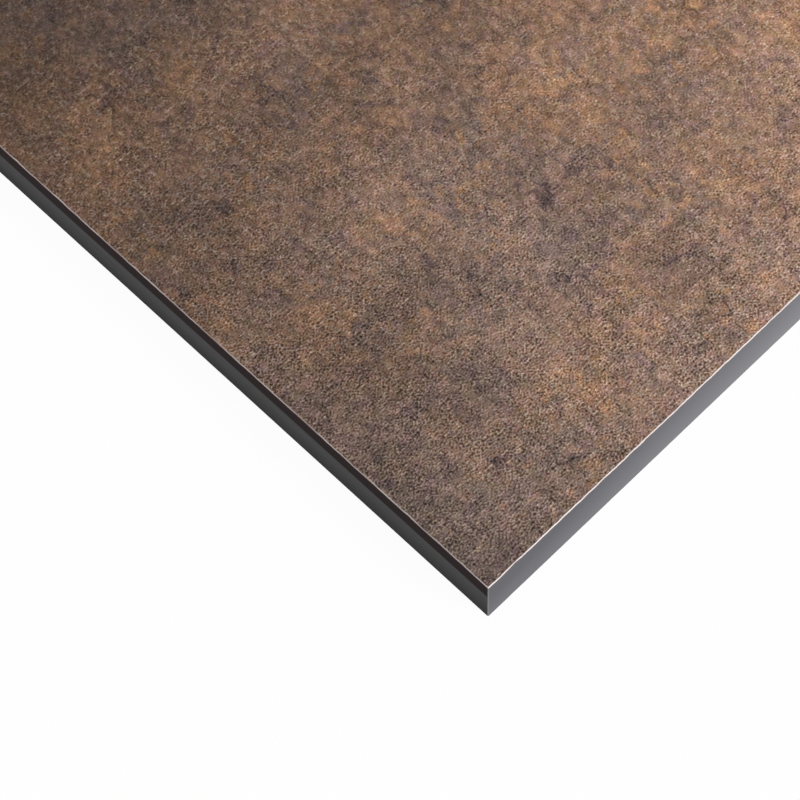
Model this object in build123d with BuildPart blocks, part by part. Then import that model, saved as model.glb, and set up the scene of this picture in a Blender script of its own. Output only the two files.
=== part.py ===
# Compact laminate board, millimetres.
#
# A full sheet of high-pressure compact laminate: resin-soaked papers pressed hot between two
# printed faces into one hard slab, black right through, with the printed paper on both faces.
# It is sawn square, and its sharp edges are eased. The sheet is one solid. It lies flat, with
# its underside on the plane Z = 0 and the origin at the middle of that underside. X runs along
# the long edges, Y along the short ends, and +Z points out of the upper printed face.

import os

from build123d import *

# Driving sizes
length = 2800.0  # along the long edges
width = 1300.0  # along the short ends
thickness = 12.0  # of the pressed sheet, printed faces included
face_arris = 0.18  # 45 degree easing where a printed face meets a sawn edge, on both faces
corner_arris = 0.15  # 45 degree easing of the four upright corners, leg of the bevel


def pressed_board():
    """The sheet: a sawn blank with eased corners, then both printed faces' rims eased."""
    with BuildPart() as board:
        with BuildSketch(Plane.XY):
            Rectangle(length, width)
        extrude(amount=thickness)

        upright_corners = board.edges().filter_by(Axis.Z)
        chamfer(upright_corners, length=corner_arris)

        underside = board.faces().sort_by(Axis.Z)[0]
        upper_face = board.faces().sort_by(Axis.Z)[-1]
        chamfer(underside.edges() + upper_face.edges(), length=face_arris)

    board.part.label = "board"
    return board.part


os.makedirs("parts", exist_ok=True)
board = pressed_board()
export_step(board, "parts/board.step")
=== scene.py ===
# Compact laminate board: the finish of its printed faces, eased rims and sawn edges,
# and the floor, light and camera that it is looked at with.
# Metres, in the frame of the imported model: X along the long edges, Y along the short
# ends, Z out of the upper printed face. Sizes in millimetres have _mm in their names.

import math

import bpy
from mathutils import Euler, Matrix, Vector


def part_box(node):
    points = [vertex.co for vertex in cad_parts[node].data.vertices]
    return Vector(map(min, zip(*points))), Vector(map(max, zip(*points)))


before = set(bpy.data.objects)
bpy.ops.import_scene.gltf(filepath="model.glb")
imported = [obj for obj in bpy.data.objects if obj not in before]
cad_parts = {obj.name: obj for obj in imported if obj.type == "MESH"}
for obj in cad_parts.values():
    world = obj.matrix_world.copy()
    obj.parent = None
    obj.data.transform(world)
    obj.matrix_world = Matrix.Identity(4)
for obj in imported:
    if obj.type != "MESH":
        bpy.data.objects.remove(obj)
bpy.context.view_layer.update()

# The pressed sheet
# Kraft papers soaked in dark resin and two printed papers, pressed hot into one hard slab.
# The slab is one piece, so its finishes are parts of one material, told apart by the way
# that the surface faces: printed faces up and down, a bevel round them, sawn edges.
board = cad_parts["board"]
board_low, board_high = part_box("board")
near_corner = Vector((board_high.x, board_low.y, board_high.z))
metres_to_mm = 1000.0

# Upright share of the direction that a surface faces: 1 on a face, 0.7 on a bevel, 0 on a sawn edge
least_upright_face = 0.9
least_upright_bevel = 0.3
least_endways = 0.5  # share along X, from which a sawn edge or bevel belongs to a short end

laminate = bpy.data.materials.new("compact_laminate")
laminate.use_nodes = True
laminate.node_tree.nodes.clear()


class Shade:
    """A socket of the tree being built, which adds, multiplies and mixes like a number."""

    tree = laminate.node_tree

    def __init__(self, socket):
        self.socket = socket

    @classmethod
    def node(cls, kind, settings=None, sockets=None, output=0):
        """Any node: its type, its settings, then the values or links of its sockets."""
        made = cls.tree.nodes.new(kind)
        for name, value in (settings or {}).items():
            setattr(made, name, value)
        for name, value in (sockets or {}).items():
            if isinstance(value, Shade):
                cls.tree.links.new(value.socket, made.inputs[name])
            else:
                made.inputs[name].default_value = value
        return cls(made.outputs[output]) if made.outputs else None

    def maths(self, operation, *others):
        """One Math node, with this number first."""
        sockets = dict(enumerate((self, *others)))
        return Shade.node("ShaderNodeMath", {"operation": operation}, sockets)

    def __add__(self, other):
        return self.maths("ADD", other)

    __radd__ = __add__

    def __mul__(self, other):
        return self.maths("MULTIPLY", other)

    __rmul__ = __mul__

    def __sub__(self, other):
        return self.maths("SUBTRACT", other)

    def __rsub__(self, other):
        return Shade.node("ShaderNodeMath", {"operation": "SUBTRACT"}, {0: other, 1: self})

    def __pow__(self, exponent):
        return self.maths("POWER", exponent)

    def __rpow__(self, base):
        return Shade.node("ShaderNodeMath", {"operation": "POWER"}, {0: base, 1: self})

    def size(self):
        return self.maths("ABSOLUTE")

    def over(self, limit):
        return self.maths("GREATER_THAN", limit)

    def step(self, start, end):
        """0 at start, 1 at end, and a soft rise or fall between them."""
        settings = {"interpolation_type": "SMOOTHSTEP"}
        return Shade.node("ShaderNodeMapRange", settings, {"Value": self, 1: start, 2: end})

    def choose(self, outside, inside):
        """The first number where this is 0, the second where it is 1."""
        return Shade.node("ShaderNodeMix", {"data_type": "FLOAT"}, {0: self, 2: outside, 3: inside})

    def tint(self, outside, inside):
        """The first colour where this is 0, the second where it is 1."""
        settings = {"data_type": "RGBA"}
        return Shade.node("ShaderNodeMix", settings, {0: self, 6: outside, 7: inside}, output=2)

    def scale(self, amount):
        """A colour or a vector times a number."""
        return Shade.node("ShaderNodeVectorMath", {"operation": "SCALE"}, {0: self, "Scale": amount})

    def shift(self, amount):
        """A vector plus a vector."""
        return Shade.node("ShaderNodeVectorMath", {"operation": "ADD"}, {0: self, 1: amount})

    def axis(self, name):
        """The coordinate X, Y or Z of a vector."""
        return Shade.node("ShaderNodeSeparateXYZ", sockets={"Vector": self}, output=name)


def colour(red, green, blue):
    return (red, green, blue, 1.0)


place = Shade.node("ShaderNodeTexCoord", output="Object")
facing = Shade.node("ShaderNodeTexCoord", output="Normal")
upright = facing.axis("Z")
is_printed = upright.size().over(least_upright_face)
is_sawn = 1 - upright.size().over(least_upright_bevel)
is_end = facing.axis("X").size().over(least_endways)
is_corner = is_end * facing.axis("Y").size().over(least_endways)

# The printed faces
# A printed paper under a clear melamine skin, pressed against a plate with a fine sandy
# relief. The print is a rust-brown oxide mottle, drawn out a little along the sheet.
rust_violet = colour(1.38, 0.90, 0.868)  # of lightness 1: a greyed umber, on its violet side
rust_olive = colour(1.272, 0.947, 0.72)  # of lightness 1: the same, on its olive side
copper_red = colour(1.674, 0.847, 0.533)  # of lightness 1: a copper orange, on its red side
copper_gold = colour(1.556, 0.891, 0.445)  # of lightness 1: the same, on its golden side
print_lightness = 0.0628
print_warmth = 0.50  # 0 all umber, 1 all copper
print_olive = 0.50  # 0 all violet and red, 1 all olive and gold
print_roughness = 0.6
drawn_out = 1.2  # how much longer than wide the mottle's patches are, along the sheet
reverse_shift_mm = 5000.0  # the underside's paper is cut from another stretch of the print

from_corner = place.shift(-near_corner).scale(metres_to_mm)
is_reverse = 1 - upright.over(0)
reverse = Shade.node("ShaderNodeCombineXYZ", sockets={"X": reverse_shift_mm * is_reverse})
on_paper = from_corner.shift(reverse)


def mottle(cell_mm, start, strength=1.0, longer=drawn_out, surface=on_paper):
    """Patches of one size, up to strength either way. start is the near corner's place in them."""
    laid = Shade.node(
        "ShaderNodeMapping",
        sockets={
            "Vector": surface,
            "Location": (*start, 0.0),
            "Scale": (1 / (cell_mm * longer), 1 / cell_mm, 0.0),
        },
    )
    settings = {"noise_dimensions": "2D", "normalize": False}
    sockets = {"Vector": laid, "Scale": 1.0, "Detail": 0.0}
    return strength * Shade.node("ShaderNodeTexNoise", settings, sockets)


# Broad clouds of light and dark in stops, then of umber and copper, each in several sizes
# The broadest drift is partly the print's own clouds and partly painted light: its rise in lightness
# over the near corner stands in for uneven lighting.
drifts_and_painted_light = mottle(cell_mm=195.0, start=(881.55, 533.00), strength=-1.67)
clouds = mottle(cell_mm=73.0, start=(845.70, 1098.30), strength=0.52)
patches = mottle(cell_mm=39.0, start=(714.50, 1101.70), strength=-0.40)
blots = mottle(cell_mm=21.5, start=(1120.60, 732.30), strength=-0.16)
copper_clouds = mottle(cell_mm=87.8, start=(278.55, 198.30), strength=0.60)
copper_patches = mottle(cell_mm=43.9, start=(66.65, 1034.00), strength=0.32)
copper_blots = mottle(cell_mm=23.4, start=(120.35, 75.85), strength=-0.18)

# Calm stretches, in which this share of the broadest clouds is left
calm_share = 0.35
is_cloudy = mottle(cell_mm=430.0, start=(48.64, 44.28), longer=1.0).step(start=-0.5, end=0.5)
cloudiness = is_cloudy.choose(outside=calm_share, inside=1.0)

# Ragged borders: the flecks are laid on paper that a finer noise has shifted about
shift_x = mottle(cell_mm=1.9, start=(44.0, 61.0), strength=1.3, longer=1.0)
shift_y = mottle(cell_mm=1.9, start=(93.0, 18.0), strength=1.3, longer=1.0)
ragged = on_paper.shift(Shade.node("ShaderNodeCombineXYZ", sockets={"X": shift_x, "Y": shift_y}))

# Oxide flecks of light and dark, and copper flecks and specks that gather in clusters
flecks = (
    mottle(cell_mm=11.7, start=(867.75, 612.30), strength=-0.30, surface=ragged)
    + mottle(cell_mm=5.8, start=(24.0, 49.0), strength=0.10, surface=ragged)
    + mottle(cell_mm=2.9, start=(83.0, 17.0), strength=0.46, surface=ragged)
)
fine_flecks = mottle(cell_mm=1.45, start=(11.0, 71.0), strength=0.55)
clusters = mottle(cell_mm=17.0, start=(40.0, 90.0), surface=ragged).step(start=-0.2, end=0.3)
small_copper = clusters.choose(outside=0.10, inside=0.26)
fine_copper = clusters.choose(outside=0.06, inside=0.18)
copper_in_flecks = 0.35  # lighter flecks are more coppery
copper_flecks = (
    copper_in_flecks * flecks
    + mottle(cell_mm=11.7, start=(669.90, 74.30), strength=-0.22, surface=ragged)
    + mottle(cell_mm=5.8, start=(52.0, 94.0), strength=0.22, surface=ragged)
    + mottle(cell_mm=2.9, start=(19.0, 66.0), strength=small_copper, surface=ragged)
    + mottle(cell_mm=1.45, start=(77.0, 38.0), strength=fine_copper)
)
specks = clusters * mottle(cell_mm=2.0, start=(15.0, 33.0), surface=ragged).step(start=0.2, end=0.45)

# Dark pits outside the clusters, and a few dark veins where a noise crosses its zero line
pits = mottle(cell_mm=3.0, start=(68.0, 12.0), surface=ragged).step(start=0.25, end=0.55)
pits = pits * (1 - clusters)
vein_lines = mottle(cell_mm=8.0, start=(12.0, 57.0), surface=ragged).size().step(start=0.05, end=0.0)
veins = vein_lines * mottle(cell_mm=11.0, start=(31.0, 75.0)).step(start=0.05, end=0.35)

# The sandy relief: sharp grains, and rounded plates with curled grooves between them.
# Both slowly grow and fade over the sheet, and are uneven at two smaller sizes.
# In colour the relief is also painted lit and shaded: tall grains lighter, hollows and grooves darker.
growth_stops = 0.09
bold_grain_stops = 0.25
bold_plate_stops = 1.1
plate_power = -0.3  # plates are a little fainter where the grain is strong
height_power = 1.8  # heights grow faster than the grain's light
boldness = mottle(cell_mm=120.0, start=(43.06, 17.43), longer=1.0)
growth = growth_stops + mottle(cell_mm=156.0, start=(1088.45, 519.85), strength=1.29, longer=1.0)
grain_growth = 2 ** (growth + bold_grain_stops * boldness)
plate_growth = 2 ** (bold_plate_stops * boldness) * grain_growth**plate_power
height_growth = grain_growth**height_power
unevenness = (
    1
    + mottle(cell_mm=9.0, start=(61.0, 29.0), strength=0.3)
    + mottle(cell_mm=1.8, start=(36.0, 58.0), strength=0.5)
)
low_grain = 0.35
sharpness = 2.2  # how much steeper the tall grains are than the low ones
lean = 0.25  # how much taller the grains are than the hollows are deep
grains = mottle(cell_mm=0.39, start=(13.0, 3.0), longer=1.0)
sharp_grains = grains * (low_grain + sharpness * grains.size() + lean * grains)
plates = mottle(cell_mm=0.80, start=(5.0, 9.0), longer=1.0)
groove_level = 0.2
grooves = plates.size() - groove_level

# How far each shows in the print's colour, and how high each stands. For grains and grooves
# that colour is painted light and shade of the relief.
grain_shade = 0.82
groove_shade = 0.38
plate_shade = 0.47
grain_height_mm = 0.070
groove_height_mm = 0.09
painted_grain_light = grain_growth * (grain_shade * sharp_grains + groove_shade * grooves)
sand = unevenness * (painted_grain_light + plate_shade * plate_growth * plates)
sand_height_mm = (
    unevenness * height_growth * (grain_height_mm * sharp_grains + groove_height_mm * grooves)
)

# The marks of the print by name, and what each does to its light, its copper and its olive side
marks = {
    "flecks": flecks,
    "fine_flecks": fine_flecks,
    "specks": specks,
    "pits": pits,
    "veins": veins,
    # painted light and shade of the relief, with the plates' own tone
    "sand": sand,
}


def weigh(**weights):
    """The sum of the named marks, each times its weight."""
    return sum(weight * marks[name] for name, weight in weights.items())


fine_contrast = 0.29
fine_steepness = 2.4
fine_marks = weigh(flecks=1.0, fine_flecks=1.0, sand=1.0, specks=0.25, pits=-0.3, veins=-0.8)
fine_light = (1 + fine_contrast * fine_marks) ** fine_steepness
broad_light = 2 ** (cloudiness * (drifts_and_painted_light + clouds) + patches + blots)
# The painted light and shade of the relief are kept out of the copper, so they stay near grey.
warm_marks = weigh(specks=0.4, pits=-0.2, veins=-0.2, sand=-0.8, fine_flecks=-0.1)
copper = cloudiness * copper_clouds + copper_patches + copper_blots + copper_flecks
warmth = print_warmth + copper + warm_marks
olive_flecks = (
    mottle(cell_mm=3.5, start=(28.0, 81.0), strength=0.35)
    + mottle(cell_mm=1.4, start=(37.0, 46.0), strength=0.45)
)
olive = print_olive + olive_flecks + weigh(sand=0.4, pits=-0.4, veins=-0.5)
rust = olive.tint(rust_violet, rust_olive)
coppery = olive.tint(copper_red, copper_gold)
print_colour = warmth.tint(rust, coppery).scale(print_lightness * broad_light * fine_light)
printed_roughness = print_roughness + weigh(sand=-0.1)

# The eased rims
# Where the face's edge is broken at 45 degrees, the white paper under the print shows as a
# pale line about a quarter of a millimetre wide. On the long edges it is darkened by painted
# shade, and along every rim it is paler in some stretches than in others.
paper_white = colour(0.67, 0.61, 0.595)
paper_in_shade = colour(0.30, 0.225, 0.215)
paper_inside_mm = 0.12  # from the line's middle, all paper up to here
paper_outside_mm = 0.19  # and none from here on
white_at_ends = 0.8  # of the least pale stretch
white_along = 0.5  # of the palest stretch of a long edge, the rest being painted shade
rim_roughness = 0.5

half_mm = (board_high - board_low) * (metres_to_mm / 2)
height_mm = place.axis("Z") * metres_to_mm
from_rim_x = half_mm.x - (place.axis("X") * metres_to_mm).size()
from_rim_y = half_mm.y - (place.axis("Y") * metres_to_mm).size()
below_face = half_mm.z - (height_mm - half_mm.z).size()
over_rim_mm = from_rim_x.maths("MINIMUM", from_rim_y) - below_face  # 0 at the bevel's middle
along_mm = from_corner.axis("X") + from_corner.axis("Y")
on_edge = Shade.node("ShaderNodeCombineXYZ", sockets={"X": along_mm, "Y": height_mm})
waver_mm = (
    mottle(cell_mm=4.0, start=(7.0, 2.0), strength=0.16, longer=1.0, surface=on_edge)
    + mottle(cell_mm=1.7, start=(3.0, 5.0), strength=0.10, longer=1.0, surface=on_edge)
)
is_paper = (over_rim_mm + waver_mm).size().step(start=paper_outside_mm, end=paper_inside_mm)
is_paler_stretch = mottle(cell_mm=5.0, start=(7.0, 2.0), longer=1.0, surface=on_edge).step(start=-0.6, end=0.7)
whiteness = is_end.choose(white_along * is_paler_stretch, is_paler_stretch.choose(white_at_ends, 1.0))
paper_colour = whiteness.tint(paper_in_shade, paper_white)

# The sawn edges
# Black resin papers, cut across and trimmed. The short ends have a satin shine, and their paler grey
# is painted reflection. The long edges are duller, with a still darker band under the upper face
# that is a painted dark reflection, and they darken towards the foot as painted shade.
core_end_dark = colour(0.012, 0.012, 0.023)
core_end_sheen = colour(0.135, 0.134, 0.147)
core_foot_shade = colour(0.002, 0.002, 0.002)
core_long = colour(0.026, 0.025, 0.026)
# Painted dark reflection, as a band under the upper face of each long edge
core_band_reflection = colour(0.010, 0.003, 0.003)
# Painted highlight on the upright corner between a short end and a long edge
core_corner_highlight = colour(0.130, 0.125, 0.130)
end_sheen = 0.62  # painted reflection: 0 dark, 1 pale, at the underside's rim
end_sheen_per_mm = -0.036  # upwards, so the painted reflection is paler towards the foot
end_roughness = 0.35
long_foot_roughness = 0.85
long_roughness = 0.66
band_roughness = 1.0
band_depth_mm = 3.9  # from the upper face
band_fade_mm = 0.3
all_dark_mm = -3.0  # height, below the underside, at which a long edge would be all dark from painted shade
layer_mm = 0.3
layer_length = 90.0  # how much longer than thick a layer's streaks are
layer_tone_at_ends = 0.05
layer_tone_along = 0.15

layers = mottle(cell_mm=layer_mm, start=(3.0, 8.0), longer=layer_length, surface=on_edge)
# The short ends' grey is painted reflection, paler towards the foot and rising and falling slowly
# along the end; the layers' streaks are the core's own tone.
sheen_drift_along = mottle(cell_mm=137.0, start=(23.65, 16.06), strength=0.65, longer=1.0, surface=on_edge)
end_sheen_and_layers = end_sheen + sheen_drift_along + end_sheen_per_mm * height_mm + layer_tone_at_ends * layers
end_colour = end_sheen_and_layers.tint(core_end_dark, core_end_sheen)
band_foot_mm = 2 * half_mm.z - band_depth_mm
is_reflection_band = height_mm.step(start=band_foot_mm - band_fade_mm, end=band_foot_mm + band_fade_mm)
# Painted shade towards the foot, with the layers' own streaks
long_foot_shade_and_layers = height_mm.step(start=all_dark_mm, end=band_foot_mm) + layer_tone_along * layers
long_colour = is_reflection_band.tint(long_foot_shade_and_layers.tint(core_foot_shade, core_long), core_band_reflection)
sawn_colour = is_corner.tint(is_end.tint(long_colour, end_colour), core_corner_highlight)
under_band_roughness = long_foot_shade_and_layers.choose(long_foot_roughness, long_roughness)
long_edge_roughness = is_reflection_band.choose(under_band_roughness, band_roughness)
sawn_roughness = is_end.choose(long_edge_roughness, end_roughness)

# The finishes together
# One surface for the whole slab, with each finish where the slab faces its way.
# Only the printed faces carry the relief.
skin_shine = 0.22  # 0.5 is that of glass
flat_roughness = is_printed.choose(rim_roughness, printed_roughness)
relief = Shade.node(
    "ShaderNodeBump",
    sockets={"Strength": 1.0, "Distance": 1 / metres_to_mm, "Height": sand_height_mm * is_printed},
)
surface = Shade.node(
    "ShaderNodeBsdfPrincipled",
    sockets={
        "Base Color": is_paper.tint(is_sawn.tint(print_colour, sawn_colour), paper_colour),
        "Roughness": is_sawn.choose(flat_roughness, sawn_roughness),
        "Specular IOR Level": skin_shine,
        "Normal": relief,
    },
)
Shade.node("ShaderNodeOutputMaterial", sockets={"Surface": surface})
board.data.materials.clear()
board.data.materials.append(laminate)

# The floor
# A plain white sweep, wide enough for the whole sheet's views. It glows white to the eye and
# stays matt under the lamp, so it still takes the sheet's shadow.
white = colour(1.0, 1.0, 1.0)
floor_white = colour(0.9, 0.9, 0.9)
floor_glow = 0.94  # share of the floor's look that is glow, the rest is lit
floor_reach = 60.0
floor_level = 0.0
floor_turns = [(-1, -1), (1, -1), (1, 1), (-1, 1)]
floor_corners = [(x * floor_reach, y * floor_reach, floor_level) for x, y in floor_turns]
floor_mesh = bpy.data.meshes.new("floor")
floor_mesh.from_pydata(floor_corners, [], [range(len(floor_corners))])
floor = bpy.data.objects.new("floor", floor_mesh)
bpy.context.scene.collection.objects.link(floor)

floor_paint = bpy.data.materials.new("floor_white")
floor_paint.use_nodes = True
floor_paint.node_tree.nodes.clear()
Shade.tree = floor_paint.node_tree


def seen():
    """1 for rays sent out by the eye, a gloss or a clear body, 0 for those that bring light."""
    kinds = ("Is Camera Ray", "Is Glossy Ray", "Is Transmission Ray")
    eye, gloss, clear = [Shade.node("ShaderNodeLightPath", output=kind) for kind in kinds]
    return eye.maths("MAXIMUM", gloss).maths("MAXIMUM", clear)


matt = Shade.node("ShaderNodeBsdfDiffuse", sockets={"Color": floor_white})
glow = Shade.node("ShaderNodeEmission", sockets={"Color": white, "Strength": 1.0})
sweep = Shade.node("ShaderNodeMixShader", sockets={0: floor_glow * seen(), 1: matt, 2: glow})
Shade.node("ShaderNodeOutputMaterial", sockets={"Surface": sweep})
floor.data.materials.append(floor_paint)

# The light
# A pale room, seen as pure white, and one large soft lamp on the +X side. It stands low
# enough to rake the relief and to brighten the short end more than the long edge.
room_light = 0.45
studio = bpy.data.worlds.new("studio")
bpy.context.scene.world = studio
studio.use_nodes = True
studio.node_tree.nodes.clear()
Shade.tree = studio.node_tree
room_strength = seen().choose(room_light, 1.0)
room = Shade.node("ShaderNodeBackground", sockets={"Color": white, "Strength": room_strength})
Shade.node("ShaderNodeOutputWorld", sockets={"Surface": room})


def softbox(name, azimuth, elevation, spread, strength):
    """A large soft lamp far off. Azimuth 0 is on the +X side, 90 on the +Y side."""
    lamp = bpy.data.lights.new(name, "SUN")
    lamp.energy = strength
    lamp.angle = math.radians(spread)
    stand = bpy.data.objects.new(name, lamp)
    stand.rotation_euler = Euler((0, math.radians(90 - elevation), math.radians(azimuth)))
    bpy.context.scene.collection.objects.link(stand)


softbox("key", azimuth=3.0, elevation=35.0, spread=40.0, strength=3.0)

# The camera
# It looks down on the near corner, turned as the photograph's was.
# Its aim is a point of the upper face near that corner, and its angles are in degrees.
camera_azimuth = 48.319
camera_elevation = 63.205
camera_roll = -3.578
camera_distance = 0.40655
aim_from_corner = Vector((-0.03331, 0.01364, 0.0))
camera_data = bpy.data.cameras.new("camera")
camera_data.sensor_width = 36.0
camera_data.lens = 112.5
camera_data.clip_start = 0.01
camera_data.clip_end = 200.0
camera = bpy.data.objects.new("camera", camera_data)
bpy.context.scene.collection.objects.link(camera)
turn = Matrix.Rotation(math.radians(camera_azimuth), 4, "Z")
tilt = Matrix.Rotation(math.radians(90 - camera_elevation), 4, "X")
back = Matrix.Translation((0, 0, camera_distance))
roll = Matrix.Rotation(math.radians(camera_roll), 4, "Z")
camera.matrix_world = Matrix.Translation(near_corner + aim_from_corner) @ turn @ tilt @ back @ roll
bpy.context.scene.camera = camera

bpy.context.scene.view_settings.view_transform = "Standard"
